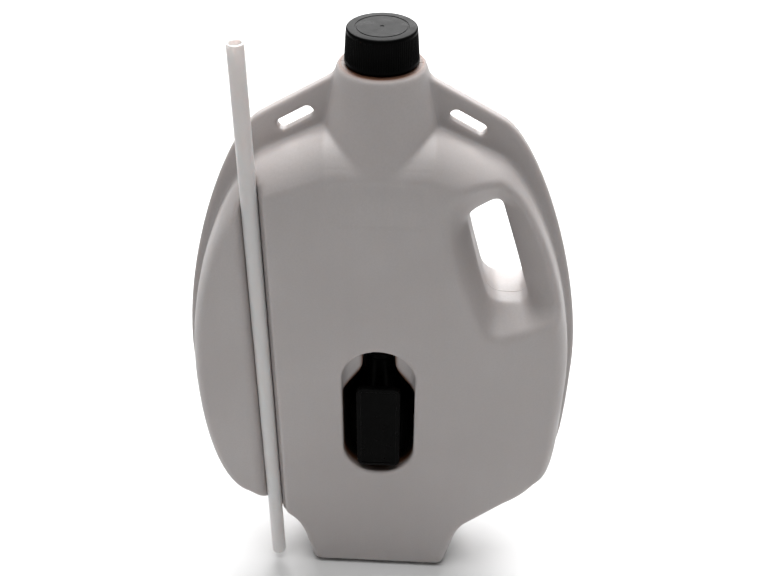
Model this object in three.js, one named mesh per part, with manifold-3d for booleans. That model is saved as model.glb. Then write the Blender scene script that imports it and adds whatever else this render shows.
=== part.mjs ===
// Oil drain canister: a flat, upright blow-moulded canister on a foot, with a
// moulded handle, two hanging slots, a screw cap, a pouring spout stored in a
// front pocket, a drain tube stored in a front channel, and a catch basin with
// a stoppered inlet in its back.
//
// Millimetres. X right, Y away from the front, Z up. The shapes are drawn with
// Y = 0 on the parting plane of the mould, and the finished group is moved so
// that the origin is under the middle of the foot.

import * as THREE from 'three';
import { mergeVertices } from 'three/addons/utils/BufferGeometryUtils.js';
import Module from 'manifold-3d';

const wasm = await Module();
wasm.setup();

// Driving dimensions.
const WALL = 2.5;
const GAP = 0.3;
const FRONT_Y = -46;
const BACK_Y = 34;
const HALF_WIDTH = 160;
const EDGE_ROUND = 11;
const EDGE_DEPTH = 28;
const SHOULDER_DROP = 14;
const SHOULDER_WARP_Z = [350, 425];

const WEB_HALF = 5;
const DOME_RIM = 6.6;
const WEB_NECK = [30, 482.1];
const WEB_SHOULDER = [87, 449];
const DOME_NECK = [40, 443];
const DOME_SHOULDER = [86, 421];

// Each side swells from the widest level, and ends where the foot's slope starts.
const RIGHT_SIDE = { widestZ: 220, above: 310, below: 101, bulge: [155, 127], end: [129.6, 91] };
const LEFT_SIDE = { widestZ: 218, above: 313, below: 84, bulge: [123, 85], end: [114, 79] };

const FOOT_TOP = [82, 55];
const FOOT_BEND = [73, 44];
const FOOT_WAIST = [70, 26];
const FOOT_HALF = 66;
const FOOT_CORNER = 12;

const SLOT_LENGTH = 30;
const SLOT_WIDTH = 9;
const SLOT_CENTRE = [62.3, 445.5];

const NECK_SPLIT_Z = 481;
const NECK_LEDGE_Z = 489.3;
const NECK_TOP_Z = 511;
const NECK_RADIUS = 20.4;
const NECK_BORE = 17.8;
const CONE_RADIUS = 31.8;
const CONE_TOP_Z = 487.6;
const CONE_SLOPE = 0.215;

const THREAD_PITCH = 5;
const THREAD_TURNS = 1.75;
const THREAD_HEIGHT = 1.7;
const THREAD_WIDTH = 2.2;
const THREAD_START_Z = 494;

const CAP_BOTTOM_Z = 490.7;
const CAP_TOP_Z = 515.1;
const CAP_RADIUS = 26.5;
const CAP_TOP_RADIUS = 24.8;
const CAP_BORE = 23.2;
const CAP_RIBS = 48;
const CAP_RIB_DEPTH = 0.5;
const LINER_THICKNESS = 1.2;

const POCKET_RADIUS = 29.8;
const POCKET_BOTTOM_Z = 124;
const POCKET_TOP_Z = 261.3;
const POCKET_FLOOR_Y = 12;
const LEDGE_Y = -35;
const LEDGE = [[13, 300, 10], [13, 236, 8], [29.5, 212, 8], [70, 212, 12], [70, 300, 12]];

const CHANNEL_RIGHT_X = -84;
const CHANNEL_LEFT_X = -106;
const CHANNEL_RADIUS = 6.9;
const CHANNEL_LIP = 5;
const TUBE_X = -94;
const TUBE_Y = -39;
const TUBE_RADIUS = 6.2;
const TUBE_BORE = 4.6;
const TUBE_BOTTOM_Z = 8;
const TUBE_TOP_Z = 518;

// Corners of the handle hole at its waist, of its scoop in front and of its back.
const HANDLE_HOLE = [
  [89, 392, 9], [64, 376, 10], [74, 335, 14], [86, 293, 14], [119, 293, 14], [105, 341, 12],
];
const SCOOP = [
  [92, 436, 24], [48, 402, 24], [54, 350, 26], [85, 272, 22], [146, 302, 16], [130, 374, 26],
];
const HOLE_BACK = [
  [90, 398, 10], [60, 380, 14], [71, 335, 14], [83, 292, 16], [122, 292, 14], [107, 343, 14],
];
const SCOOP_SWELL = 1.2;
const SCOOP_Y = -14;
const HOLE_BACK_Y = 8;
const FLARE_STEPS = 4;

const BASIN_Y = 15;
const BASIN_CORNER = 6;
const BASIN = [
  [-58, 86, 30], [58, 86, 30], [127, 150, 40], [127, 262, 20], [64, 274, 25],
  [46, 383, 18], [-76, 383, 30], [-127, 300, 60], [-127, 150, 40],
];
const INLET_Z = 325;
const INLET_RADIUS = 20;
const BOSS_Y = 3;

const SPOUT_Y = -15.2;
const SPOUT_BOTTOM_Z = 142;
const SPOUT_RADIUS = 27;
const COLLAR_TOP_Z = 190;
const SEAT_Z = 186;
const NOZZLE_Z = 213;
const NOZZLE_TOP_Z = 252;
const NOZZLE_RADIUS = 12.3;
const NOZZLE_TAPER = 1.1;
const NOZZLE_WALL = 2;
const TAB_HALF = 18.3;
const TAB_BOTTOM_Z = 133;
const TAB_TOP_Z = 222;
const TAB_FRONT_Y = -45.6;
const TAB_BACK_Y = -40;

const ROUND_SEGMENTS = 36;
const CURVE_SEGMENTS = 5;
const FAR = 400;

// Solids and meshes.

function signedVolume(positions, index) {
  const a = new THREE.Vector3();
  const b = new THREE.Vector3();
  const c = new THREE.Vector3();
  let volume = 0;
  for (let i = 0; i < index.length; i += 3) {
    a.fromArray(positions, 3 * index[i]);
    b.fromArray(positions, 3 * index[i + 1]);
    c.fromArray(positions, 3 * index[i + 2]);
    volume += a.dot(b.cross(c));
  }
  return volume;
}

function solidOf(geometry) {
  const bare = geometry.clone();
  bare.deleteAttribute('normal');
  bare.deleteAttribute('uv');
  const merged = mergeVertices(bare, 1e-4);
  const positions = merged.attributes.position.array;
  let index = [];
  for (let i = 0; i < merged.index.count; i += 3) {
    const [a, b, c] = merged.index.array.slice(i, i + 3);
    if (a !== b && b !== c && c !== a) index.push(a, b, c);
  }
  if (signedVolume(positions, index) < 0) index = index.reverse();
  return new wasm.Manifold(new wasm.Mesh({
    numProp: 3,
    vertProperties: new Float32Array(positions),
    triVerts: new Uint32Array(index),
  }));
}

function meshOf(solid, name, material) {
  const { vertProperties, triVerts } = solid.getMesh();
  const geometry = new THREE.BufferGeometry();
  geometry.setAttribute('position', new THREE.BufferAttribute(vertProperties, 3));
  geometry.setIndex(new THREE.BufferAttribute(triVerts, 1));
  geometry.computeVertexNormals();
  const mesh = new THREE.Mesh(geometry, material);
  mesh.name = name;
  return mesh;
}

function warp(geometry, move) {
  const positions = geometry.attributes.position;
  const point = new THREE.Vector3();
  for (let i = 0; i < positions.count; i += 1) {
    point.fromBufferAttribute(positions, i);
    move(point);
    positions.setXYZ(i, point.x, point.y, point.z);
  }
  return geometry;
}

// A body of revolution about the Z axis from [radius, z] pairs.
function turned(profile, segments = ROUND_SEGMENTS) {
  const points = profile.map(([radius, z]) => new THREE.Vector2(radius, z));
  points.push(points[0].clone());
  return new THREE.LatheGeometry(points, segments).rotateX(Math.PI / 2);
}

// A shape drawn in X and Z, run from yFront to yBack with both ends rounded.
function plate(shape, yFront, yBack, round, roundDepth = round, grow = 0, steps = 2) {
  const geometry = new THREE.ExtrudeGeometry(shape, {
    depth: yBack - yFront - 2 * roundDepth,
    curveSegments: CURVE_SEGMENTS,
    bevelSize: round,
    bevelThickness: roundDepth,
    bevelOffset: grow - round,
    bevelSegments: steps,
  });
  geometry.translate(0, 0, roundDepth);
  geometry.rotateX(Math.PI / 2);
  return geometry.translate(0, yBack, 0);
}

function box(xRange, yRange, zRange) {
  const size = [xRange, yRange, zRange].map(([low, high]) => high - low);
  const middle = [xRange, yRange, zRange].map(([low, high]) => (low + high) / 2);
  return solidOf(new THREE.BoxGeometry(...size).translate(...middle));
}

// A polygon of [x, z, radius] corners with each corner rounded.
function roundedOutline(corners) {
  const shape = new THREE.Shape();
  corners.forEach(([x, z, radius], i) => {
    const corner = new THREE.Vector2(x, z);
    const before = new THREE.Vector2(...corners.at(i - 1).slice(0, 2)).sub(corner);
    const after = new THREE.Vector2(...corners[(i + 1) % corners.length].slice(0, 2)).sub(corner);
    const start = before.setLength(radius).add(corner);
    const end = after.setLength(radius).add(corner);
    if (i === 0) shape.moveTo(start.x, start.y);
    else shape.lineTo(start.x, start.y);
    shape.quadraticCurveTo(x, z, end.x, end.y);
  });
  return shape;
}

// The corners moved outwards by the same distance on every side.
function grown(corners, distance) {
  return corners.map(([x, z, radius], i) => {
    const corner = new THREE.Vector2(x, z);
    const before = new THREE.Vector2(...corners.at(i - 1)).sub(corner).normalize();
    const after = new THREE.Vector2(...corners[(i + 1) % corners.length]).sub(corner).normalize();
    const sine = Math.abs(before.cross(after));
    const outward = before.add(after).multiplyScalar(-distance / sine);
    return [x + outward.x, z + outward.y, radius + distance];
  });
}

function blended(from, to, share) {
  return from.map((corner, i) => (
    corner.map((value, k) => THREE.MathUtils.lerp(value, to[i][k], share))
  ));
}

// A solid through rounded polygons, given as [corners, y] from front to back.
function loft(levels) {
  const rings = levels.map(([corners, y]) => (
    roundedOutline(corners).getPoints(CURVE_SEGMENTS).map((point) => [point.x, y, point.y])
  ));
  const count = rings[0].length;
  const index = [];
  for (let row = 0; row + 1 < rings.length; row += 1) {
    for (let i = 0; i < count; i += 1) {
      const a = row * count + i;
      const b = row * count + ((i + 1) % count);
      index.push(a, b, a + count, b, b + count, a + count);
    }
  }
  // Each end is a fan round its middle.
  const points = rings.flat();
  const middleOf = (ring) => [0, 1, 2].map((k) => (
    ring.reduce((sum, point) => sum + point[k], 0) / count
  ));
  const lastRow = (rings.length - 1) * count;
  const frontMiddle = points.push(middleOf(rings[0])) - 1;
  const backMiddle = points.push(middleOf(rings.at(-1))) - 1;
  for (let i = 0; i < count; i += 1) {
    const next = (i + 1) % count;
    index.push(next, i, frontMiddle, lastRow + i, lastRow + next, backMiddle);
  }
  const geometry = new THREE.BufferGeometry();
  geometry.setAttribute('position', new THREE.Float32BufferAttribute(points.flat(), 3));
  return solidOf(geometry.setIndex(index));
}

// A screw thread: a bar bent along a helix, with ends that fade into the wall.
function thread(radius, height, startZ, turns) {
  const steps = Math.round(18 * turns);
  const bar = new THREE.BoxGeometry(1, 1, 1, 1, 1, steps);
  return warp(bar, (point) => {
    const along = point.z + 0.5;
    const crest = point.x > 0;
    const fade = Math.min(1, 6 * along + 0.1, 6 * (1 - along) + 0.1);
    const reach = crest ? height * fade : -Math.sign(height) * 0.5;
    const angle = along * turns * 2 * Math.PI;
    const width = THREAD_WIDTH * (crest ? 0.5 : 1);
    const rise = startZ + along * turns * THREAD_PITCH + point.y * width;
    point.set((radius + reach) * Math.cos(angle), (radius + reach) * Math.sin(angle), rise);
  });
}

// Canister.

// One half of the outline of the body or of its web, in X and Z, from the neck down.
function halfOutline(neck, shoulder, rim, { widestZ, above, below, bulge, end }) {
  const side = HALF_WIDTH - rim;
  const half = new THREE.Path();
  half.moveTo(neck[0], neck[1]);
  half.lineTo(shoulder[0], shoulder[1]);
  half.bezierCurveTo(shoulder[0] + 30, shoulder[1] - 17, side, above, side, widestZ);
  half.bezierCurveTo(side, below, bulge[0] - rim, bulge[1], end[0], end[1] + rim);
  half.lineTo(FOOT_TOP[0], FOOT_TOP[1]);
  half.quadraticCurveTo(...FOOT_BEND, ...FOOT_WAIST);
  half.lineTo(FOOT_HALF, FOOT_CORNER);
  half.lineTo(FOOT_HALF - FOOT_CORNER / 4, FOOT_CORNER / 4);
  half.lineTo(FOOT_HALF - FOOT_CORNER, -EDGE_ROUND);
  return half.getPoints(8);
}

function bodyOutline(neck, shoulder, rim) {
  const right = halfOutline(neck, shoulder, rim, RIGHT_SIDE);
  const left = halfOutline(neck, shoulder, rim, LEFT_SIDE)
    .reverse()
    .map((point) => new THREE.Vector2(-point.x, point.y));
  return new THREE.Shape([...right, ...left]);
}

// The hollow part of the body. Its top leans in towards the front and back faces.
function dome(inset) {
  const outline = bodyOutline(DOME_NECK, DOME_SHOULDER, DOME_RIM);
  const geometry = plate(
    outline, FRONT_Y + inset, BACK_Y - inset, EDGE_ROUND, EDGE_DEPTH, -inset, 4,
  );
  const middle = (FRONT_Y + BACK_Y) / 2;
  const straight = (BACK_Y - FRONT_Y) / 2 - EDGE_DEPTH;
  const leaned = solidOf(warp(geometry, (point) => {
    const lean = Math.max(0, Math.abs(point.y - middle) - straight) / EDGE_DEPTH;
    const share = THREE.MathUtils.smoothstep(point.z, ...SHOULDER_WARP_Z);
    point.z -= SHOULDER_DROP * share * lean * lean;
  }));
  return leaned.intersect(box([-FAR, FAR], [-FAR, FAR], [inset, 2 * FAR]));
}

function web() {
  const outline = bodyOutline(WEB_NECK, WEB_SHOULDER, 0);
  return solidOf(plate(outline, -WEB_HALF, WEB_HALF, 2.5, 2.5, 0, 2));
}

function coneRadius(z) {
  return CONE_RADIUS + CONE_SLOPE * (CONE_TOP_Z - z);
}

function cone(inset) {
  const low = CONE_TOP_Z + (CONE_RADIUS + FRONT_Y + 0.3) / CONE_SLOPE;
  const full = solidOf(turned([
    [0, low], [coneRadius(low) - inset, low],
    [coneRadius(CONE_TOP_Z) - inset, CONE_TOP_Z], [0, CONE_TOP_Z],
  ]));
  const depth = [FRONT_Y + inset, BACK_Y - inset];
  return full.intersect(box([-FAR, FAR], depth, [0, 2 * FAR]));
}

function obround(length, radius) {
  const shape = new THREE.Shape();
  const reach = length / 2 - radius;
  shape.absarc(reach, 0, radius, -Math.PI / 2, Math.PI / 2);
  shape.absarc(-reach, 0, radius, Math.PI / 2, 1.5 * Math.PI);
  return shape;
}

function hangingSlot(side) {
  const [neckX, neckZ] = WEB_NECK;
  const [shoulderX, shoulderZ] = WEB_SHOULDER;
  const slope = Math.atan2(shoulderZ - neckZ, shoulderX - neckX);
  const slot = plate(obround(SLOT_LENGTH, SLOT_WIDTH / 2), -20, 20, 0.5);
  slot.rotateY(-side * slope);
  return solidOf(slot.translate(side * SLOT_CENTRE[0], 0, SLOT_CENTRE[1]));
}

function pocketSlot(floorY, grow) {
  const slot = plate(
    obround(POCKET_TOP_Z - POCKET_BOTTOM_Z, POCKET_RADIUS), -FAR, floorY + grow, 4, 4, grow,
  );
  slot.rotateY(Math.PI / 2);
  return solidOf(slot.translate(0, 0, (POCKET_BOTTOM_Z + POCKET_TOP_Z) / 2));
}

// The pocket is deep round the spout, with a shallow ledge in each top corner.
function pocket(grow) {
  const right = solidOf(plate(roundedOutline(LEDGE), -FAR, FAR, 0.5, 0.5, -grow, 1));
  return pocketSlot(POCKET_FLOOR_Y, grow)
    .subtract(right)
    .subtract(right.mirror([1, 0, 0]))
    .add(pocketSlot(LEDGE_Y, grow));
}

// The hole is narrowest inside, with a wide scoop in front and a smaller flare behind.
function handleHole(grow) {
  const waist = grown(HANDLE_HOLE, grow);
  const flare = (corners, yWaist, yFace, past) => {
    const wide = grown(corners, grow);
    const levels = [];
    for (let step = 0; step <= FLARE_STEPS; step += 1) {
      const share = step / FLARE_STEPS;
      const y = THREE.MathUtils.lerp(yWaist, yFace, share);
      levels.push([blended(waist, wide, share ** SCOOP_SWELL), y]);
    }
    return [...levels, [wide, past]];
  };
  const scoop = flare(SCOOP, SCOOP_Y + grow, FRONT_Y + grow, -FAR);
  const back = flare(HOLE_BACK, HOLE_BACK_Y - grow, BACK_Y - grow, FAR);
  return loft([...scoop.toReversed(), ...back]);
}

// The channel has a steep right wall and a sloping left one.
function tubeChannel(grow) {
  const radius = CHANNEL_RADIUS + grow;
  const shape = new THREE.Shape();
  shape.moveTo(CHANNEL_LEFT_X - grow, -FAR);
  shape.lineTo(CHANNEL_LEFT_X - grow, FRONT_Y);
  shape.lineTo(TUBE_X - radius, TUBE_Y);
  shape.absarc(TUBE_X, TUBE_Y, radius, Math.PI, 0, true);
  shape.lineTo(CHANNEL_RIGHT_X + grow, FRONT_Y + CHANNEL_LIP);
  shape.lineTo(CHANNEL_RIGHT_X + grow, -FAR);
  const options = { depth: 2 * FAR, bevelEnabled: false, curveSegments: CURVE_SEGMENTS };
  return solidOf(new THREE.ExtrudeGeometry(shape, options).translate(0, 0, -FAR / 2));
}

function basin(grow) {
  return solidOf(plate(roundedOutline(BASIN), BASIN_Y - grow, FAR, BASIN_CORNER, BASIN_CORNER, grow));
}

function inletCylinder(radius, yStart, yEnd) {
  const rod = new THREE.CylinderGeometry(radius, radius, yEnd - yStart, ROUND_SEGMENTS);
  return solidOf(rod.translate(0, (yStart + yEnd) / 2, INLET_Z));
}

function canister() {
  const outside = dome(0).add(web()).add(cone(0));
  const hollow = dome(WALL).add(cone(WALL))
    .subtract(pocket(WALL))
    .subtract(handleHole(WALL))
    .subtract(tubeChannel(WALL))
    .subtract(basin(WALL))
    .subtract(inletCylinder(INLET_RADIUS + WALL, BOSS_Y, BACK_Y));
  return outside
    .subtract(hollow)
    .subtract(pocket(0))
    .subtract(handleHole(0))
    .subtract(tubeChannel(0))
    .subtract(basin(0))
    .subtract(hangingSlot(1))
    .subtract(hangingSlot(-1))
    .subtract(inletCylinder(INLET_RADIUS, -WALL, BACK_Y));
}

// The canister is one moulding. Its halves meet at the parting plane.
function canisterHalf(whole, yRange) {
  return whole.intersect(box([-FAR, FAR], yRange, [0, NECK_SPLIT_Z - GAP / 2]));
}

function neck() {
  const foot = NECK_SPLIT_Z + GAP / 2;
  const underLedge = NECK_LEDGE_Z - WALL;
  const ring = solidOf(turned([
    [coneRadius(foot), foot],
    [coneRadius(CONE_TOP_Z), CONE_TOP_Z],
    [CONE_RADIUS - 1, NECK_LEDGE_Z - 0.4],
    [CONE_RADIUS - 3, NECK_LEDGE_Z],
    [NECK_RADIUS, NECK_LEDGE_Z],
    [NECK_RADIUS, NECK_TOP_Z],
    [NECK_BORE, NECK_TOP_Z],
    [NECK_BORE, underLedge],
    [CONE_RADIUS - 3, underLedge],
    [coneRadius(foot) - WALL, foot],
  ]));
  return ring.add(solidOf(thread(NECK_RADIUS, THREAD_HEIGHT, THREAD_START_Z, THREAD_TURNS)));
}

// Closures.

function screwCap() {
  const ribbed = new THREE.Shape();
  for (let i = 0; i < 2 * CAP_RIBS; i += 1) {
    const angle = (i / CAP_RIBS) * Math.PI;
    const radius = CAP_RADIUS - (i % 2) * CAP_RIB_DEPTH;
    const step = i === 0 ? 'moveTo' : 'lineTo';
    ribbed[step](radius * Math.cos(angle), radius * Math.sin(angle));
  }
  const edge = 1.2;
  const height = CAP_TOP_Z - CAP_BOTTOM_Z;
  const skirt = new THREE.ExtrudeGeometry(ribbed, {
    depth: height - 2 * edge,
    bevelSize: edge,
    bevelThickness: edge,
    bevelOffset: -edge,
    bevelSegments: 1,
  });
  skirt.translate(0, 0, CAP_BOTTOM_Z + edge);
  warp(skirt, (point) => {
    const share = (point.z - CAP_BOTTOM_Z) / height;
    const scale = THREE.MathUtils.lerp(1, CAP_TOP_RADIUS / CAP_RADIUS, share);
    point.x *= scale;
    point.y *= scale;
  });
  const ceiling = NECK_TOP_Z + LINER_THICKNESS + 2 * GAP;
  const bore = turned([
    [0, CAP_BOTTOM_Z - 1], [CAP_BORE, CAP_BOTTOM_Z - 1], [CAP_BORE, ceiling], [0, ceiling],
  ]);
  const turns = 1.25;
  const start = THREAD_START_Z + THREAD_PITCH / 2;
  return solidOf(skirt)
    .subtract(solidOf(bore))
    .add(solidOf(thread(CAP_BORE, -THREAD_HEIGHT, start, turns)));
}

function capLiner() {
  const low = NECK_TOP_Z + GAP;
  const high = low + LINER_THICKNESS;
  const radius = CAP_BORE - GAP;
  return solidOf(turned([[0, low], [radius, low], [radius, high], [0, high]]));
}

function inletStopper() {
  const stem = INLET_RADIUS - 1.6;
  const flange = INLET_RADIUS + 5;
  const seat = BASIN_Y + GAP;
  const groove = [7, 10];
  const cup = turned([
    [0, seat + 3], [stem - 3, seat + 3], [stem - 3, BOSS_Y + 1], [stem, BOSS_Y + 1],
    [stem, groove[0]], [stem - 1.2, groove[0]], [stem - 1.2, groove[1]], [stem, groove[1]],
    [stem, seat], [flange, seat], [flange, seat + 2.4], [flange - 1, seat + 3.4], [0, seat + 3.4],
  ]);
  // The stopper is turned about Z and then laid along Y.
  const laid = cup.rotateX(-Math.PI / 2).translate(0, 0, INLET_Z);
  const grip = plate(obround(2 * stem, 3), seat + 2, BACK_Y - 3, 1).translate(0, 0, INLET_Z);
  return solidOf(laid).add(solidOf(grip));
}

function stopperRing() {
  const inner = INLET_RADIUS - 2.5;
  const outer = INLET_RADIUS - GAP;
  const ring = turned([
    [inner, 7.3], [outer - 0.5, 7.3], [outer, 8.0], [outer, 9.0], [outer - 0.5, 9.7], [inner, 9.7],
  ]);
  return solidOf(ring.rotateX(-Math.PI / 2).translate(0, 0, INLET_Z));
}

// Stored spout and tube.

function pouringSpout() {
  const inner = NOZZLE_RADIUS - NOZZLE_WALL;
  const flare = new THREE.CubicBezierCurve(
    new THREE.Vector2(SPOUT_RADIUS, COLLAR_TOP_Z),
    new THREE.Vector2(SPOUT_RADIUS - 10, COLLAR_TOP_Z + 5),
    new THREE.Vector2(NOZZLE_RADIUS + 2, NOZZLE_Z - 12),
    new THREE.Vector2(NOZZLE_RADIUS, NOZZLE_Z),
  ).getPoints(4).map((point) => [point.x, point.y]);
  const body = turned([
    [CAP_BORE, SPOUT_BOTTOM_Z], [SPOUT_RADIUS, SPOUT_BOTTOM_Z],
    ...flare,
    [NOZZLE_RADIUS - NOZZLE_TAPER, NOZZLE_TOP_Z], [inner - NOZZLE_TAPER, NOZZLE_TOP_Z],
    [inner, NOZZLE_Z - 1], [inner + 3, NOZZLE_Z - 12], [NECK_BORE, SEAT_Z + 3],
    [NECK_BORE, SEAT_Z], [CAP_BORE, SEAT_Z],
  ]).translate(0, SPOUT_Y, 0);
  const start = SEAT_Z - NECK_TOP_Z + THREAD_START_Z + THREAD_PITCH / 2;
  const ridge = thread(CAP_BORE, -THREAD_HEIGHT, start, 1.25).translate(0, SPOUT_Y, 0);
  const tab = plate(roundedOutline([
    [-TAB_HALF, TAB_BOTTOM_Z, 8], [TAB_HALF, TAB_BOTTOM_Z, 8],
    [TAB_HALF, TAB_TOP_Z, 4], [-TAB_HALF, TAB_TOP_Z, 4],
  ]), TAB_FRONT_Y, TAB_BACK_Y, 1, 1, 0, 2);
  return solidOf(body).add(solidOf(tab)).add(solidOf(ridge));
}

function spoutWasher() {
  const high = SEAT_Z - GAP;
  const low = high - 1.6;
  const outer = CAP_BORE - GAP;
  const ring = turned([[NECK_BORE, low], [outer, low], [outer, high], [NECK_BORE, high]]);
  return solidOf(ring.translate(0, SPOUT_Y, 0));
}

function drainTube() {
  const pipe = turned([
    [TUBE_BORE, TUBE_BOTTOM_Z], [TUBE_RADIUS, TUBE_BOTTOM_Z],
    [TUBE_RADIUS, TUBE_TOP_Z], [TUBE_BORE, TUBE_TOP_Z],
  ], 24);
  return solidOf(pipe.translate(TUBE_X, TUBE_Y, 0));
}

// Materials.

function plastic(color, roughness) {
  return new THREE.MeshStandardMaterial({ color, roughness, metalness: 0 });
}

const naturalPlastic = () => plastic(0xd9d5cf, 0.5);
const blackPlastic = () => plastic(0x141414, 0.45);
const blackRubber = () => plastic(0x1c1b1a, 0.8);
const whiteFoam = () => plastic(0xe4e1da, 0.9);
const clearTube = () => plastic(0xe6ddda, 0.35);

// Assembly.

const drainCanister = new THREE.Group();
drainCanister.name = 'oil_drain_canister';
drainCanister.position.y = -(FRONT_Y + BACK_Y) / 2;

const whole = canister();
drainCanister.add(
  meshOf(canisterHalf(whole, [-FAR, -GAP / 2]), 'canister_front_half', naturalPlastic()),
  meshOf(canisterHalf(whole, [GAP / 2, FAR]), 'canister_back_half', naturalPlastic()),
  meshOf(neck(), 'canister_neck', naturalPlastic()),
  meshOf(screwCap(), 'screw_cap', blackPlastic()),
  meshOf(capLiner(), 'cap_liner', whiteFoam()),
  meshOf(pouringSpout(), 'pouring_spout', blackPlastic()),
  meshOf(spoutWasher(), 'spout_washer', blackRubber()),
  meshOf(drainTube(), 'drain_tube', clearTube()),
  meshOf(inletStopper(), 'inlet_stopper', blackPlastic()),
  meshOf(stopperRing(), 'stopper_ring', blackRubber()),
);

export default drainCanister;
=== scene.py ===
"""Looks for the oil drain canister: its moulding, closures, spout, tube and setting.

Shapes are worked out in millimetres in the frame's own axes and written in metres.
"""

import math

import bmesh
import bpy
import numpy as np
import openvdb
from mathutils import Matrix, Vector


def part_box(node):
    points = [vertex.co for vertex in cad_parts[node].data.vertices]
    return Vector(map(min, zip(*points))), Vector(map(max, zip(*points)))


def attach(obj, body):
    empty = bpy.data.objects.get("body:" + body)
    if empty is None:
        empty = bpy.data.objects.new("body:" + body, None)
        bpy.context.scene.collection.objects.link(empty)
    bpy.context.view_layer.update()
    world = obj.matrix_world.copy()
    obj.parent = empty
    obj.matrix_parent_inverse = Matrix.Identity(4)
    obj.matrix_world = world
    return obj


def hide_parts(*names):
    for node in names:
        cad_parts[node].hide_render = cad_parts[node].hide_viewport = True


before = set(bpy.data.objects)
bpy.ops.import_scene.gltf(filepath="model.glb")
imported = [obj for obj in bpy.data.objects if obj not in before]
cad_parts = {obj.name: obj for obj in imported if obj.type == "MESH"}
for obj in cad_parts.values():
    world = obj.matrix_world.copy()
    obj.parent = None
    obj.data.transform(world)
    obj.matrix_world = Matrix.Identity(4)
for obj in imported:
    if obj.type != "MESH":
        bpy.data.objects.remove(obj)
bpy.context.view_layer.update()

MM = 0.001


def box_mm(node):
    low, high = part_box(node)
    return np.array(low) / MM, np.array(high) / MM


# Camera and setting.


def make_camera():
    camera = bpy.data.objects.new("camera", bpy.data.cameras.new("camera"))
    camera.location = (0.0370, -0.6688, 0.8047)
    camera.rotation_euler = [math.radians(angle) for angle in (52.79, -0.18, 3.10)]
    camera.data.lens = 49.2
    camera.data.sensor_width = 36
    bpy.context.collection.objects.link(camera)
    bpy.context.scene.camera = camera


def make_floor():
    half = 6.0
    mesh = bpy.data.meshes.new("floor")
    corners = [(-half, -half, 0), (half, -half, 0), (half, half, 0), (-half, half, 0)]
    mesh.from_pydata(corners, [], [(0, 1, 2, 3)])
    floor = bpy.data.objects.new("floor", mesh)
    bpy.context.collection.objects.link(floor)
    material = new_material("floor")
    shader = material.node_tree.nodes["Principled BSDF"]
    shader.inputs["Base Color"].default_value = (0.70, 0.70, 0.70, 1)
    shader.inputs["Roughness"].default_value = 0.9
    mesh.materials.append(material)


def make_light(name, location, target, size, power):
    data = bpy.data.lights.new(name, "AREA")
    data.shape = "SQUARE"
    data.size = size
    data.energy = power
    light = bpy.data.objects.new(name, data)
    light.location = location
    aim = Vector(target) - Vector(location)
    light.rotation_euler = aim.to_track_quat("-Z", "Y").to_euler()
    bpy.context.collection.objects.link(light)
    return light


def make_lights():
    middle = (0, 0, 0.25)
    make_light("back_softbox", (0.0, 2.2, 1.9), middle, 2.4, 150)
    make_light("top_softbox", (0.0, 0.2, 2.8), middle, 2.4, 100)
    low_fill = make_light("low_fill", (0.0, -0.45, 0.05), (0, 0, 0.02), 0.3, 0.17)
    low_fill.visible_camera = False
    world = bpy.data.worlds.new("studio")
    bpy.context.scene.world = world
    world.use_nodes = True
    world.node_tree.nodes["Background"].inputs["Color"].default_value = (1, 1, 1, 1)
    world.node_tree.nodes["Background"].inputs["Strength"].default_value = 0.06
    bpy.context.scene.view_settings.view_transform = "Standard"


# Materials.


def new_material(name):
    material = bpy.data.materials.new(name)
    material.use_nodes = True
    return material


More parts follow.
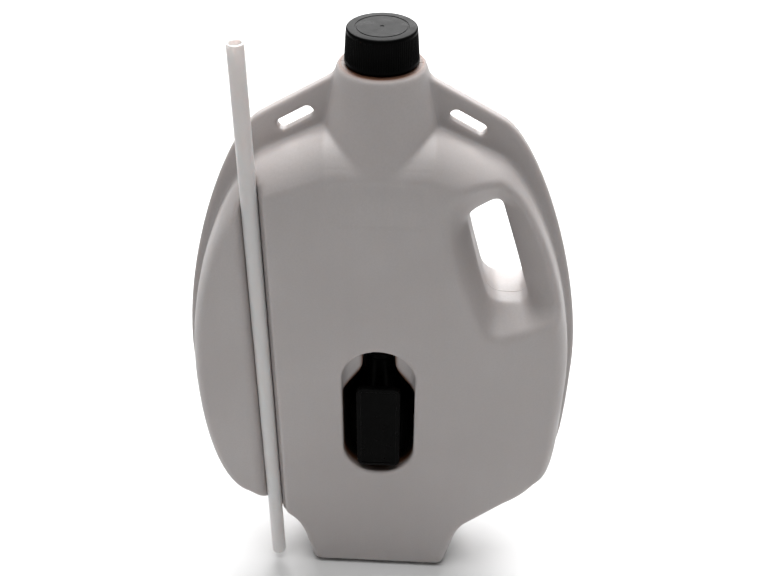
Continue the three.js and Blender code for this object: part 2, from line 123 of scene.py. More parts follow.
class Nodes:
    """Short names for the few shader nodes that the materials share."""

    def __init__(self, material):
        self.tree = material.node_tree
        self.shader = self.tree.nodes["Principled BSDF"]

    def add(self, kind, **values):
        node = self.tree.nodes.new(kind)
        for key, value in values.items():
            setattr(node, key, value)
        return node

    def link(self, output, target):
        self.tree.links.new(output, target)

    def position(self):
        return self.add("ShaderNodeTexCoord").outputs["Object"]

    def noise(self, scale, detail=3.0, roughness=0.5, stretch=(1, 1, 1)):
        mapping = self.add("ShaderNodeMapping")
        mapping.inputs["Scale"].default_value = stretch
        self.link(self.position(), mapping.inputs["Vector"])
        noise = self.add("ShaderNodeTexNoise")
        noise.inputs["Scale"].default_value = scale
        noise.inputs["Detail"].default_value = detail
        noise.inputs["Roughness"].default_value = roughness
        self.link(mapping.outputs["Vector"], noise.inputs["Vector"])
        return noise.outputs["Fac"]

    def between(self, value, low, high, to_low=0.0, to_high=1.0):
        node = self.add("ShaderNodeMapRange")
        limits = {"From Min": low, "From Max": high, "To Min": to_low, "To Max": to_high}
        for key, number in limits.items():
            node.inputs[key].default_value = number
        self.link(value, node.inputs["Value"])
        return node.outputs["Result"]

    def mix(self, factor, first, second):
        node = self.add("ShaderNodeMix", data_type="RGBA")
        self.link(factor, node.inputs["Factor"])
        for value, socket in ((first, node.inputs["A"]), (second, node.inputs["B"])):
            if isinstance(value, tuple):
                socket.default_value = (*value, 1)
            else:
                self.link(value, socket)
        return node.outputs["Result"]

    def math(self, operation, first, second):
        node = self.add("ShaderNodeMath", operation=operation)
        for value, socket in ((first, node.inputs[0]), (second, node.inputs[1])):
            if isinstance(value, (int, float)):
                socket.default_value = value
            else:
                self.link(value, socket)
        return node.outputs["Value"]

    def near_plane(self, axis, level, reach):
        """One on the plane at a level of an axis, falling to zero within a reach."""
        split = self.add("ShaderNodeSeparateXYZ")
        self.link(self.position(), split.inputs["Vector"])
        away = self.math("ABSOLUTE", self.math("SUBTRACT", split.outputs[axis], level), 0)
        return self.between(away, 0, reach, 1, 0)

    def attribute(self, name):
        return self.add("ShaderNodeAttribute", attribute_name=name).outputs["Fac"]

    def bump(self, heights):
        """Stacks bumps from (height output, distance in metres, strength)."""
        normal = None
        for height, distance, strength in heights:
            node = self.add("ShaderNodeBump")
            node.inputs["Distance"].default_value = distance
            node.inputs["Strength"].default_value = strength
            self.link(height, node.inputs["Height"])
            if normal is not None:
                self.link(normal, node.inputs["Normal"])
            normal = node.outputs["Normal"]
        self.link(normal, self.shader.inputs["Normal"])


def natural_plastic():
    material = new_material("natural_plastic")
    n = Nodes(material)
    cloud = n.between(n.noise(9, 4), 0.35, 0.65)
    streak = n.between(n.noise(60, 3, 0.6, (1, 1, 0.12)), 0.3, 0.7)
    color = n.mix(cloud, (0.445, 0.412, 0.404), (0.484, 0.452, 0.444))
    grain = n.between(n.noise(650, 3), 0.35, 0.65)
    scuff = n.between(n.noise(26, 7, 0.75, (1, 1, 0.3)), 0.64, 0.74)
    color = n.mix(n.math("MULTIPLY", streak, 0.25), color, (0.42, 0.39, 0.38))
    color = n.mix(n.math("MULTIPLY", grain, 0.3), color, (0.40, 0.372, 0.365))
    color = n.mix(n.math("MULTIPLY", scuff, 0.25), color, (0.60, 0.58, 0.57))
    # Painted shade: where the shade attribute is set, the plastic's colour goes brown and then near
    # black, standing in for the shadow in the pocket behind the spout and under the cap.
    shade = n.attribute("shade")
    color = n.mix(n.between(shade, 0.0, 0.55), color, (0.14, 0.05, 0.02))
    color = n.mix(n.between(shade, 0.4, 0.95), color, (0.004, 0.002, 0.001))
    n.link(color, n.shader.inputs["Base Color"])
    gloss = n.between(n.noise(35, 4), 0.3, 0.7, 0.42, 0.58)
    n.link(n.math("ADD", gloss, n.math("MULTIPLY", scuff, 0.15)), n.shader.inputs["Roughness"])
    n.shader.inputs["Subsurface Weight"].default_value = 0.35
    n.shader.inputs["Subsurface Radius"].default_value = (1.0, 0.75, 0.6)
    n.shader.inputs["Subsurface Scale"].default_value = 0.006
    n.bump([
        (n.noise(22, 2), 0.0012, 0.25),
        (n.noise(330, 3), 0.0003, 0.25),
        (n.noise(1400, 2), 0.00012, 0.4),
        (n.near_plane("Y", PART_Y * MM, 0.0006), 0.0004, 0.9),
    ])
    return material


def black_plastic(name, base=0.002, gloss=0.02, scuff=0.03):
    material = new_material(name)
    n = Nodes(material)
    patches = n.between(n.noise(90, 5), 0.35, 0.7)
    n.link(n.mix(patches, (base, base, base), (base * 1.8, base * 1.8, base * 1.75)),
           n.shader.inputs["Base Color"])
    n.link(n.between(n.noise(140, 4), 0.3, 0.7, 0.26, 0.26 + 4 * scuff), n.shader.inputs["Roughness"])
    n.shader.inputs["Specular IOR Level"].default_value = gloss
    n.bump([(n.noise(2200, 2), 0.00008, 0.4), (n.noise(160, 3), 0.0003, 0.12)])
    return material


def rubber(name):
    material = new_material(name)
    n = Nodes(material)
    n.link(n.mix(n.noise(220, 4), (0.014, 0.013, 0.012), (0.03, 0.028, 0.026)),
           n.shader.inputs["Base Color"])
    n.link(n.between(n.noise(300, 3), 0.3, 0.7, 0.65, 0.85), n.shader.inputs["Roughness"])
    n.bump([(n.noise(1800, 2), 0.0001, 0.4)])
    return material


def liner_foam():
    material = new_material("liner_foam")
    n = Nodes(material)
    n.link(n.mix(n.noise(400, 4), (0.70, 0.68, 0.63), (0.80, 0.78, 0.74)),
           n.shader.inputs["Base Color"])
    n.link(n.between(n.noise(700, 2), 0.3, 0.7, 0.75, 0.95), n.shader.inputs["Roughness"])
    n.bump([(n.noise(1600, 3), 0.00015, 0.5)])
    return material


def tube_plastic():
    material = new_material("tube_plastic")
    n = Nodes(material)
    haze = n.between(n.noise(40, 3, 0.5, (1, 1, 0.15)), 0.3, 0.7)
    n.link(n.mix(haze, (0.97, 0.90, 0.875), (0.99, 0.95, 0.935)), n.shader.inputs["Base Color"])
    n.link(n.between(n.noise(120, 3), 0.3, 0.7, 0.28, 0.42), n.shader.inputs["Roughness"])
    n.shader.inputs["Transmission Weight"].default_value = 0.3
    n.shader.inputs["IOR"].default_value = 1.46
    n.shader.inputs["Subsurface Weight"].default_value = 0.5
    n.shader.inputs["Subsurface Radius"].default_value = (1.0, 0.8, 0.75)
    n.shader.inputs["Subsurface Scale"].default_value = 0.004
    n.bump([(n.noise(300, 2, 0.5, (1, 1, 0.05)), 0.0002, 0.2)])
    return material


# Mesh helpers.


def add_piece(name, vertices_mm, faces, material, body, slot, replaced=()):
    mesh = bpy.data.meshes.new(name)
    mesh.from_pydata((np.asarray(vertices_mm) * MM).tolist(), [], faces)
    mesh.materials.append(material)
    mesh.polygons.foreach_set("use_smooth", [True] * len(mesh.polygons))
    mesh.update()
    piece = bpy.data.objects.new(name, mesh)
    bpy.context.collection.objects.link(piece)
    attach(piece, body)
    if replaced:
        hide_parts(*replaced)
    return piece


def finish_edges(piece):
    """Turns faces outwards, and keeps steep edges crisp under smooth shading."""
    shell = bmesh.new()
    shell.from_mesh(piece.data)
    bmesh.ops.recalc_face_normals(shell, faces=shell.faces)
    shell.to_mesh(piece.data)
    shell.free()
    piece.data.set_sharp_from_angle(angle=math.radians(35))


def arc(centre, radius, start, end, steps=6):
    angles = np.radians(np.linspace(start, end, steps + 1))
    return [(centre[0] + radius * math.cos(a), centre[1] + radius * math.sin(a)) for a in angles]


def revolve(profile, segments, centre, axis="Z", ripple=None):
    """Turns a closed [radius, height] loop about an axis. ripple(angle, i) adds to a radius."""
    vertices = []
    for s in range(segments):
        angle = 2 * math.pi * s / segments
        for i, (radius, height) in enumerate(profile):
            reach = radius + (ripple(angle, i) if ripple else 0)
            across, along = reach * math.cos(angle), reach * math.sin(angle)
            if axis == "Z":
                vertices.append((centre[0] + across, centre[1] + along, height))
            else:
                vertices.append((centre[0] + across, height, centre[2] - along))
    count = len(profile)
    faces = []
    for s in range(segments):
        after = (s + 1) % segments
        for i in range(count):
            j = (i + 1) % count
            faces.append((s * count + i, after * count + i, after * count + j, s * count + j))
    return vertices, faces


def skin(rings):
    """Joins equal rings of points with quads, and closes both ends."""
    count = len(rings[0])
    vertices = [point for ring in rings for point in ring]
    faces = []
    for row in range(len(rings) - 1):
        for i in range(count):
            j = (i + 1) % count
            a, b = row * count, (row + 1) * count
            faces.append((a + i, a + j, b + j, b + i))
    faces.append(tuple(range(count)))
    faces.append(tuple(range(len(vertices) - count, len(vertices))))
    return vertices, faces


def joined(*shells):
    vertices, faces = [], []
    for more_vertices, more_faces in shells:
        start = len(vertices)
        vertices += list(more_vertices)
        faces += [tuple(start + i for i in face) for face in more_faces]
    return vertices, faces


def thread_ridge(centre, radius, height, start):
    """A helical ridge that fades out at both ends. An inside thread has a negative height."""
    turns = 1.25 if height < 0 else 1.75
    back = -0.4 * math.copysign(1, height)
    section = [(back, -1.1), (0.8 * height, -0.6), (height, -0.25),
               (height, 0.25), (0.8 * height, 0.6), (back, 1.1)]
    steps = int(72 * turns)
    rings = []
    for k in range(steps + 1):
        share = k / steps
        fade = min(1, 7 * share + 0.05, 7 * (1 - share) + 0.05)
        angle = 2 * math.pi * turns * share
        rise = start + THREAD_PITCH * turns * share
        ring = []
        for out, up in section:
            reach = radius + (out if out == back else out * fade)
            ring.append((centre[0] + reach * math.cos(angle),
                         centre[1] + reach * math.sin(angle), rise + up))
        rings.append(ring)
    return skin(rings)


def rounded_rectangle(half, low, high, radius, inset, steps=8):
    """Points of an upright rounded rectangle in X and Z, drawn in by an inset."""
    turn = max(radius - inset, 0.3)
    reach = half - inset - turn
    bottom, top = low + inset + turn, high - inset - turn
    points = []
    for x, z, start in ((reach, top, 0), (-reach, top, 90), (-reach, bottom, 180), (reach, bottom, 270)):
        points += arc((x, z), turn, start, start + 90, steps)
    return points


def slab(half, low, high, radius, levels):
    """A rounded rectangle run through (y, inset) levels."""
    return skin([
        [(x, y, z) for x, z in rounded_rectangle(half, low, high, radius, inset)]
        for y, inset in levels
    ])


# The canister's moulding, as a distance field on a grid.

CELL = 1.5
WALL = 2.5
PART_Y = 6.0
SLAB_HALF = 40.0
EDGE_ROUND = 11.0
EDGE_DEPTH = 28.0
SHOULDER_DROP = 14.0
WEB_HALF = 5.0
CONE_SLOPE = 0.215
CONE_RADIUS = 31.8
DOME_RIM = 6.6
FOOT_ROUND = 8.0


def smooth_max(a, b, blend):
    h = np.clip(0.5 + 0.5 * (a - b) / blend, 0, 1)
    return b + (a - b) * h + blend * h * (1 - h)


def smooth_min(a, b, blend):
    return -smooth_max(-a, -b, blend)


def bezier(points, steps=24):
    t = np.linspace(0, 1, steps + 1)[:, None]
    points = [np.array(p, float) for p in points]
    while len(points) > 1:
        points = [(1 - t) * a + t * b for a, b in zip(points, points[1:])]
    return points[0]


FOOT_TOP = (82, 55)
FOOT_BEND = (73, 44)
FOOT_WAIST = (70, 26)
FOOT_CORNER = (66, 12)
CREST_LIFT = (0.9, -2.4)

# Each side swells from its widest level, and ends where the foot's slope starts.
RIGHT_SIDE = {"widest": 220, "above": 310, "below": 101, "bulge": (155, 127), "end": (129.6, 91)}
LEFT_SIDE = {"widest": 218, "above": 313, "below": 84, "bulge": (123, 85), "end": (114, 79)}


def half_outline(neck, shoulder, rim, swell):
    side = HALF_WIDTH - rim
    lead = (shoulder[0] + 30, shoulder[1] - 17)
    widest = (side, swell["widest"])
    bulge = (swell["bulge"][0] - rim, swell["bulge"][1])
    end = (swell["end"][0], swell["end"][1] + rim)
    upper = bezier([shoulder, lead, (side, swell["above"]), widest])
    lower = bezier([widest, (side, swell["below"]), bulge, end])[1:-5]
    along_slope = np.add(end, 0.3 * np.subtract(FOOT_TOP, end))
    crest = np.add(end, CREST_LIFT)
    turn = bezier([lower[-1], crest, along_slope], 8)[1:]
    foot = bezier([FOOT_TOP, FOOT_BEND, FOOT_WAIST], 10)
    toe = (FOOT_CORNER[0] - FOOT_CORNER[1], -EDGE_ROUND)
    corner = bezier([FOOT_CORNER, (FOOT_CORNER[0], -EDGE_ROUND / 2), toe], 8)
    return np.vstack([[neck], upper, lower, turn, foot, corner])


def body_outline(neck, shoulder, rim):
    right = half_outline(neck, shoulder, rim, RIGHT_SIDE)
    left = half_outline(neck, shoulder, rim, LEFT_SIDE)
    return np.vstack([right, left[::-1] * (-1, 1)])


def rounded_corners(corners, steps=6):
    points = []
    for i, (x, z, radius) in enumerate(corners):
        corner = np.array([x, z], float)
        before = np.array(corners[i - 1][:2]) - corner
        after = np.array(corners[(i + 1) % len(corners)][:2]) - corner
        start = corner + before * radius / np.linalg.norm(before)
        end = corner + after * radius / np.linalg.norm(after)
        points.append(bezier([start, corner, end], steps))
    return np.vstack(points)


def polygon_distance(points, x, z):
    """Signed distance to a closed outline, negative inside, on the grid x by z."""
    px, pz = np.meshgrid(x, z, indexing="ij")
    nearest = np.full(px.shape, 1e9)
    inside = np.zeros(px.shape, bool)
    for (ax, az), (bx, bz) in zip(points, np.roll(points, -1, axis=0)):
        dx, dz = bx - ax, bz - az
        length = dx * dx + dz * dz
        if length < 1e-9:
            continue
        t = np.clip(((px - ax) * dx + (pz - az) * dz) / length, 0, 1)
        nearest = np.minimum(nearest, np.hypot(px - ax - t * dx, pz - az - t * dz))
        if az != bz:
            crosses = (az > pz) != (bz > pz)
            inside ^= crosses & (px < ax + (pz - az) * dx / dz)
    return np.where(inside, -nearest, nearest)


def rounded_slab(u, w, end, round_u, round_w):
    """An outline distance u run along w to its end, with a quarter-ellipse edge."""
    eu = np.clip((u + round_u) / round_u, 0, None)
    ew = np.clip((w - end + round_w) / round_w, 0, None)
    f = np.sqrt(eu * eu + ew * ew)
    slope = np.sqrt((eu / round_u) ** 2 + (ew / round_w) ** 2) / np.maximum(f, 1e-6)
    edge = (f - 1) / np.maximum(slope, 1e-6)
    return np.where(f < 1e-3, np.maximum(u, w - end), edge)


def capsule(x, z, centre, half, radius, tilt=0.0):
    along = (x - centre[0]) * math.cos(tilt) + (z - centre[1]) * math.sin(tilt)
    across = (z - centre[1]) * math.cos(tilt) - (x - centre[0]) * math.sin(tilt)
    return np.hypot(np.maximum(np.abs(along) - half, 0), across) - radius


front_low, front_high = box_mm("canister_front_half")
back_low, back_high = box_mm("canister_back_half")
neck_high = box_mm("canister_neck")[1]
tube_low, tube_high = box_mm("drain_tube")
spout_low, spout_high = box_mm("pouring_spout")
stopper_low, stopper_high = box_mm("inlet_stopper")
cap_low, cap_high = box_mm("screw_cap")
liner_low, liner_high = box_mm("cap_liner")
washer_low, washer_high = box_mm("spout_washer")
ring_low, ring_high = box_mm("stopper_ring")
washer_middle = (washer_low + washer_high) / 2
HALF_WIDTH = front_high[0]

NECK_TOP = neck_high[2]
SHELF = NECK_TOP - 21.7
CONE_TOP = SHELF - 1.7
TUBE_X = (tube_low[0] + tube_high[0]) / 2
TUBE_Y = (tube_low[1] + tube_high[1]) / 2
FRONT = front_low[1]
BACK = back_high[1]
POCKET_Z = (124.0, 261.3)
POCKET_RADIUS = 29.8
POCKET_FLOOR = PART_Y + 12
LEDGE_Y = PART_Y - 35
LEDGE = [(13, 330, 8), (13, 236, 9), (29.5, 212, 9), (70, 212, 12), (70, 330, 12)]
HANDLE_HOLE = [
    (89, 392, 9), (64, 376, 10), (74, 335, 14), (86, 293, 14), (119, 293, 14), (105, 341, 12),
]
SCOOP = [
    (92, 436, 24), (48, 402, 24), (54, 350, 26), (85, 272, 22), (146, 302, 16), (130, 374, 26),
]
HOLE_BACK = [
    (90, 398, 10), (60, 380, 14), (71, 335, 14), (83, 292, 16), (122, 292, 14), (107, 343, 14),
]
SCOOP_SWELL = 1.2
SCOOP_Y = PART_Y - 14
HOLE_BACK_Y = PART_Y + 8
CHANNEL_RIGHT = 10.0
CHANNEL_LEFT = 12.0
CHANNEL_RADIUS = 6.9
CHANNEL_LIP = 5.0
PANEL = (35.0, 380.0, 416.0)
PANEL_DEPTH = 0.4
BASIN_FLOOR = PART_Y + 15
BASIN = [
    (-58, 86, 30), (58, 86, 30), (127, 150, 40), (127, 262, 20), (64, 274, 25),
    (46, 383, 18), (-76, 383, 30), (-127, 300, 60), (-127, 150, 40),
]
STOPPER_Z = (stopper_low[2] + stopper_high[2]) / 2
INLET_RADIUS = 20.0
SLOT_MIDDLE = (62.3, 445.5)
SLOT_HALF = 10.5
SLOT_RADIUS = 4.5
SLOT_TILT = math.atan2(-33.1, 57)
THREAD_PITCH = 5.0
THREAD_HEIGHT = 1.7
THREAD_START = NECK_TOP - 17.0
NECK_RADIUS = 20.4
NECK_BORE = 17.8
CAP_BORE = 23.2
CAP_RIBS = 96
COLLAR_Z = (142.0, 190.0)
TAB_TOP = 222.0


def handle_hole(x, y, z):
    """The hole through the handle: a waist that opens into a scoop in front and a flare behind."""
    waist, scoop, back = [
        polygon_distance(rounded_corners(corners), x, z)[:, None, :]
        for corners in (HANDLE_HOLE, SCOOP, HOLE_BACK)
    ]
    level = y[None, :, None]
    forward = np.clip((SCOOP_Y - level) / (SCOOP_Y - FRONT), 0, 1)
    behind = np.clip((level - HOLE_BACK_Y) / (BACK - HOLE_BACK_Y), 0, 1)
    field = waist + forward ** SCOOP_SWELL * (scoop - waist) + behind ** SCOOP_SWELL * (back - waist)
    slope = np.sqrt(sum(part ** 2 for part in np.gradient(field, CELL)))
    return field / np.maximum(slope, 1)


def vessel_field(x, y, z):
    """The hollow body and its neck cone, before anything is cut."""
    grid_y, grid_z = y[None, :, None], z[None, None, :]
    dome_2d = polygon_distance(body_outline((40, 443), (86, 421), DOME_RIM), x, z)
    share = np.clip((z - 350) / 75, 0, 1)
    share = share * share * (3 - 2 * share)
    dome = np.empty((len(x), len(y), len(z)))
    for i, depth in enumerate(np.abs(y)):
        lean = max(0.0, depth - SLAB_HALF + EDGE_DEPTH) / EDGE_DEPTH
        place = (z + SHOULDER_DROP * share * min(lean, 1.2) ** 2 - z[0]) / CELL
        low = np.clip(place.astype(int), 0, len(z) - 2)
        part = place - low
        dome[:, i, :] = dome_2d[:, low] * (1 - part) + dome_2d[:, low + 1] * part
    dome = rounded_slab(dome, np.abs(grid_y), SLAB_HALF, EDGE_ROUND, EDGE_DEPTH)

    radius = np.hypot(x[:, None, None], grid_y - PART_Y)
    cone = radius - CONE_RADIUS - CONE_SLOPE * (CONE_TOP - grid_z)
    cone = cone * math.cos(math.atan(CONE_SLOPE))
    cone = smooth_max(cone, grid_z - SHELF, 4)
    cone = smooth_max(cone, np.abs(grid_y) - SLAB_HALF, 2)
    cone = np.maximum(cone, 400 - grid_z)
    return smooth_max(smooth_min(dome, cone, 2), -grid_z, FOOT_ROUND)


def carve(body, x, y, z):
    """Cuts the handle hole, pocket, tube channel, label panel and basin."""
    grid_y = y[None, :, None]

    def flat(distance):
        return distance[:, None, :]

    body = smooth_max(body, -handle_hole(x, y, z), 6)

    middle = (0, sum(POCKET_Z) / 2)
    half = (POCKET_Z[1] - POCKET_Z[0]) / 2 - POCKET_RADIUS
    slot = capsule(z[None, :], x[:, None], middle[::-1], half, POCKET_RADIUS)
    ledge = polygon_distance(rounded_corners(LEDGE), np.abs(x), z)
    pocket = np.minimum(
        rounded_slab(flat(slot), grid_y, LEDGE_Y, 5, 5),
        rounded_slab(flat(smooth_max(slot, -ledge, 2)), grid_y, POCKET_FLOOR, 5, 5),
    )
    body = smooth_max(body, -pocket, 2.5)

    walls = [(TUBE_X - CHANNEL_LEFT, 2 * FRONT), (TUBE_X - CHANNEL_LEFT, FRONT)]
    walls += arc((TUBE_X, TUBE_Y), CHANNEL_RADIUS, 180, 0, 12)
    walls += [(TUBE_X + CHANNEL_RIGHT, FRONT + CHANNEL_LIP), (TUBE_X + CHANNEL_RIGHT, 2 * FRONT)]
    channel = polygon_distance(np.array(walls), x, y)[:, :, None]
    body = smooth_max(body, -channel, 3)

    label = polygon_distance(np.array(rounded_rectangle(*PANEL, 5, 0)), x, z)
    body = np.maximum(body, -rounded_slab(flat(label), grid_y, FRONT + PANEL_DEPTH, 1, 0.3))

    basin = flat(polygon_distance(rounded_corners(BASIN), x, z))
    return smooth_max(body, -rounded_slab(basin, -grid_y, -BASIN_FLOOR, 6, 6), 4)


def moulding_field(x, y, z):
    grid_x, grid_y, grid_z = x[:, None, None], y[None, :, None], z[None, None, :]
    radius = np.hypot(grid_x, grid_y - PART_Y)
    vessel = vessel_field(x, y, z)
    web = polygon_distance(body_outline((30, 482.1), (87, 449), 0), x, z)[:, None, :]
    outside = smooth_min(vessel, rounded_slab(web, np.abs(grid_y - PART_Y), WEB_HALF, 2.5, 2.5), 3)
    finish = np.maximum(radius - NECK_RADIUS, np.maximum(grid_z - NECK_TOP, 470 - grid_z))
    outside = smooth_min(outside, finish, 1)
    outside = np.maximum(outside, np.maximum(FRONT - grid_y, grid_y - BACK))
    outside = smooth_max(outside, -grid_z, FOOT_ROUND)
    shell = np.maximum(carve(outside, x, y, z), -(carve(vessel, x, y, z) + WALL))

    across = np.hypot(grid_x, grid_z - STOPPER_Z)
    boss = np.maximum(np.abs(across - INLET_RADIUS - WALL / 2) - WALL / 2,
                      np.abs(grid_y - PART_Y - 9) - 6)
    shell = smooth_min(shell, boss, 1)
    bore = np.maximum(across - INLET_RADIUS, np.abs(grid_y - PART_Y - 16) - 19)
    shell = smooth_max(shell, -bore, 1)
    mouth = np.maximum(radius - NECK_BORE, 480 - grid_z)
    shell = smooth_max(shell, -mouth, 1)
    for side in (-1, 1):
        centre = (side * SLOT_MIDDLE[0], SLOT_MIDDLE[1])
        slot = capsule(x[:, None], z[None, :], centre, SLOT_HALF, SLOT_RADIUS, side * SLOT_TILT)
        shell = smooth_max(shell, -slot[:, None, :], 2)
    return shell


def moulding(plastic):
    low = np.minimum(front_low, back_low) - 3
    high = np.array([front_high[0], back_high[1], neck_high[2]]) + 3
    x, y, z = [np.arange(a, b + CELL, CELL) for a, b in zip(low, high)]
    field = np.clip(moulding_field(x, y, z), -3 * CELL, 3 * CELL).astype(np.float32)
    grid = openvdb.FloatGrid(3 * CELL)
    grid.copyFromArray(field)
    points, quads = grid.convertToQuads(0.0)
    points = points * CELL + np.array([x[0], y[0], z[0]])
    piece = add_piece(
        "canister_moulding", points, quads[:, ::-1].tolist(), plastic, "canister",
        "natural_plastic", ("canister_front_half", "canister_back_half", "canister_neck"),
    )
    # Painted shade: the pocket's deep walls beside and behind the spout, and the neck and shelf under
    # the cap, get a shade value that the plastic's colour turns brown to black.
    side, level = np.abs(points[:, 0]), points[:, 2]
    depth = points[:, 1] - FRONT
    in_pocket = (side < POCKET_RADIUS + 1) & (depth < POCKET_FLOOR + 1 - FRONT)
    in_pocket &= (level > POCKET_Z[0] - 1) & (level < POCKET_Z[1] + 1)
    reach = np.interp(level, [212, 238], [POCKET_RADIUS + 4, 16])
    shade_behind_spout = np.clip((depth - 2) / 13, 0, 1) * np.clip((reach - side) / 4, 0, 1)
    across = np.hypot(points[:, 0], points[:, 1] - PART_Y)
    shade_under_cap = np.clip((31 - across) / 3, 0, 1) * (level > SHELF - 3) * 0.72
    shade = np.maximum(in_pocket * shade_behind_spout, shade_under_cap)
    values = piece.data.attributes.new("shade", "FLOAT", "POINT")
    values.data.foreach_set("value", shade.astype(np.float32))
    return piece


def neck_thread(plastic):
    ridge = thread_ridge((0, PART_Y), NECK_RADIUS, THREAD_HEIGHT, THREAD_START)
    piece = add_piece("neck_thread", *ridge, plastic, "canister", "natural_plastic")
    finish_edges(piece)


# Closures, spout and tube.


def screw_cap():
    bottom, top = cap_low[2], cap_high[2]
    reach = cap_high[0] - 0.05
    taper = 1.65
    rim = reach - taper
    ceiling = liner_high[2] + 0.3
    profile = [(CAP_BORE, bottom + 0.5), (CAP_BORE + 0.5, bottom), (reach - 0.5, bottom)]
    profile += [(reach, bottom + 0.5), (reach - 0.1, bottom + 2.2)]
    first_rib = len(profile)
    profile += [(reach - 0.15, bottom + 2.9), (rim + 0.25, top - 3.2)]
    last_rib = len(profile) - 1
    profile += [(rim + 0.15, top - 2.6)]
    profile += arc((rim - 1.5, top - 1.5), 1.5, 0, 90, 6)
    profile += [(18.7, top), (18.5, top - 0.3), (17.7, top - 0.3), (17.5, top)]
    profile += [(1.5, top), (1.1, top - 0.35), (0.02, top - 0.45)]
    profile += [(0.02, ceiling), (CAP_BORE - 1, ceiling), (CAP_BORE, ceiling - 1)]

    def rib(angle, i):
        return -0.25 * (1 - math.cos(CAP_RIBS * angle)) if first_rib <= i <= last_rib else 0

    centre = (0, PART_Y)
    shell = revolve(profile, 6 * CAP_RIBS, centre, ripple=rib)
    ridge = thread_ridge(centre, CAP_BORE, -THREAD_HEIGHT, THREAD_START + THREAD_PITCH / 2)
    piece = add_piece("ribbed_cap", *joined(shell, ridge), black_plastic("black_plastic"),
                      "cap", "black_plastic", ("screw_cap",))
    finish_edges(piece)


def cap_liner():
    low, high = liner_low[2], liner_high[2]
    reach = liner_high[0]
    press = 0.25
    profile = [(0.02, low), (NECK_BORE - 0.4, low), (NECK_BORE, low + press),
               (NECK_RADIUS, low + press), (NECK_RADIUS + 0.4, low), (reach - 0.3, low),
               (reach, low + 0.3), (reach, high - 0.3), (reach - 0.3, high), (0.02, high)]
    piece = add_piece("pressed_liner", *revolve(profile, 96, (0, PART_Y)), liner_foam(),
                      "cap_lift", "liner_foam", ("cap_liner",))
    finish_edges(piece)


def pouring_spout():
    centre = (0, washer_middle[1])
    reach = spout_high[0]
    bottom, top = COLLAR_Z
    seat = washer_high[2] + 0.3
    nozzle, tip = 12.3, spout_high[2]
    profile = [(CAP_BORE, bottom + 0.6), (CAP_BORE + 0.6, bottom), (reach - 0.8, bottom),
               (reach, bottom + 0.8), (reach, bottom + 5)]
    first_rib = len(profile)
    profile += [(reach - 0.05, bottom + 6), (reach - 0.05, top - 7)]
    last_rib = len(profile) - 1
    profile += [(reach, top - 6), (reach, top - 1)]
    profile += [tuple(p) for p in bezier([
        (reach, top), (reach - 10, top + 5), (nozzle + 2, top + 11), (nozzle, top + 23),
    ], 14)]
    for ring in (tip - 14, tip - 9):
        profile += [(nozzle - 0.7, ring - 0.8), (nozzle - 0.2, ring), (nozzle - 0.8, ring + 0.8)]
    profile += [(nozzle - 1.1, tip - 0.8), (nozzle - 1.5, tip), (nozzle - 2.7, tip),
                (nozzle - 3.1, tip - 0.6), (nozzle - 2, top + 22)]
    profile += [(nozzle + 1, top + 11), (NECK_BORE, seat + 3), (NECK_BORE, seat), (CAP_BORE, seat)]

    def rib(angle, i):
        return -0.3 * (1 - math.cos(60 * angle)) if first_rib <= i <= last_rib else 0

    shell = revolve(profile, 360, centre, ripple=rib)
    ridge = thread_ridge(centre, CAP_BORE, -THREAD_HEIGHT,
                         seat - NECK_TOP + THREAD_START + THREAD_PITCH / 2)
    front, back = spout_low[1], spout_low[1] + 5.6
    tab = slab(18.3, spout_low[2], TAB_TOP, 6, [
        (back, 1.0), (back - 1.0, 0.0), (front + 1.4, 0.0), (front + 0.4, 0.4),
        (front, 1.4), (front, 3.4), (front + 0.5, 3.9),
    ])
    piece = add_piece("ribbed_spout", *joined(shell, ridge, tab),
                      black_plastic("spout_plastic", 0.001, 0.03),
                      "spout", "spout_plastic", ("pouring_spout",))
    finish_edges(piece)


def spout_washer():
    low, high = washer_low[2], washer_high[2]
    inner, outer = NECK_BORE, washer_high[0]
    edge = 0.35
    profile = [(inner, low + edge), (inner + edge, low), (outer - edge, low), (outer, low + edge),
               (outer, high - edge), (outer - edge, high), (inner + edge, high), (inner, high - edge)]
    piece = add_piece("flat_washer", *revolve(profile, 96, washer_middle), rubber("washer_rubber"),
                      "spout", "washer_rubber", ("spout_washer",))
    finish_edges(piece)


def drain_tube():
    low, high = tube_low[2], tube_high[2]
    outer = (tube_high[0] - tube_low[0]) / 2
    inner = outer - 1.6
    edge = 0.45
    profile = [(outer, low + edge + 0.3), (outer, high - edge), (outer - edge, high),
               (inner + edge, high), (inner, high - edge), (inner, low + edge)]
    profile += [(inner + edge, low), (outer - edge - 0.3, low)]
    piece = add_piece("clear_tube", *revolve(profile, 96, (TUBE_X, TUBE_Y)), tube_plastic(),
                      "tube", "tube_plastic", ("drain_tube",))
    finish_edges(piece)


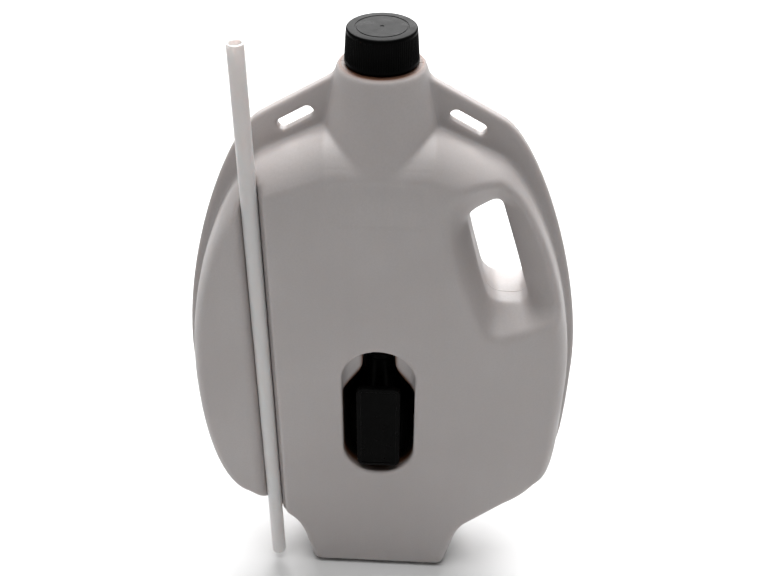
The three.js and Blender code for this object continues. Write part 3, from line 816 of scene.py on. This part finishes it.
def inlet_stopper():
    centre = (0, 0, STOPPER_Z)
    start = stopper_low[1]
    seat = BASIN_FLOOR + 0.3
    stem, flange = INLET_RADIUS - 1.6, stopper_high[0]
    groove = [ring_low[1] - 0.3, ring_high[1] + 0.3]
    profile = [(0.02, seat + 2.6), (stem - 3.6, seat + 2.6), (stem - 3, seat + 2),
               (stem - 3, start + 0.5), (stem - 2.5, start), (stem - 0.6, start),
               (stem, start + 0.6), (stem, groove[0]), (stem - 1.2, groove[0]),
               (stem - 1.2, groove[1]), (stem, groove[1]), (stem, seat), (flange - 0.4, seat)]
    first_rib = len(profile)
    profile += [(flange, seat + 0.4), (flange, seat + 2.4)]
    last_rib = len(profile) - 1
    profile += [(flange - 0.9, seat + 3.3), (flange - 3, seat + 3.4), (flange - 3.4, seat + 3.0),
                (0.02, seat + 3.0)]

    def rib(angle, i):
        return -0.25 * (1 - math.cos(48 * angle)) if first_rib <= i <= last_rib else 0

    turned = revolve(profile, 288, centre, "Y", rib)
    end = stopper_high[1]
    half, width = stem, 3.0
    grip = slab(half, STOPPER_Z - width, STOPPER_Z + width, width, [
        (seat + 2.5, 0.0), (end - 3, 0.3), (end - 1, 0.7), (end - 0.3, 1.3), (end, 2.2),
    ])
    piece = add_piece("gripped_stopper", *joined(turned, grip), black_plastic("stopper_plastic"),
                      "stopper", "stopper_plastic", ("inlet_stopper",))
    finish_edges(piece)


def stopper_ring():
    inner, outer = INLET_RADIUS - 2.5, ring_high[0]
    middle = (ring_low[1] + ring_high[1]) / 2
    half = (ring_high[1] - ring_low[1]) / 2
    reach = (outer - inner) / 2
    centre = (inner + outer) / 2
    profile = [(centre + reach * x, middle + half * y) for x, y in arc((0, 0), 1, 0, 340, 17)]
    piece = add_piece("sealing_ring", *revolve(profile, 96, (0, 0, STOPPER_Z), "Y"),
                      rubber("ring_rubber"), "stopper", "ring_rubber", ("stopper_ring",))
    finish_edges(piece)


make_camera()
make_floor()
make_lights()
canister_plastic = natural_plastic()
moulding(canister_plastic)
neck_thread(canister_plastic)
screw_cap()
cap_liner()
pouring_spout()
spout_washer()
drain_tube()
inlet_stopper()
stopper_ring()
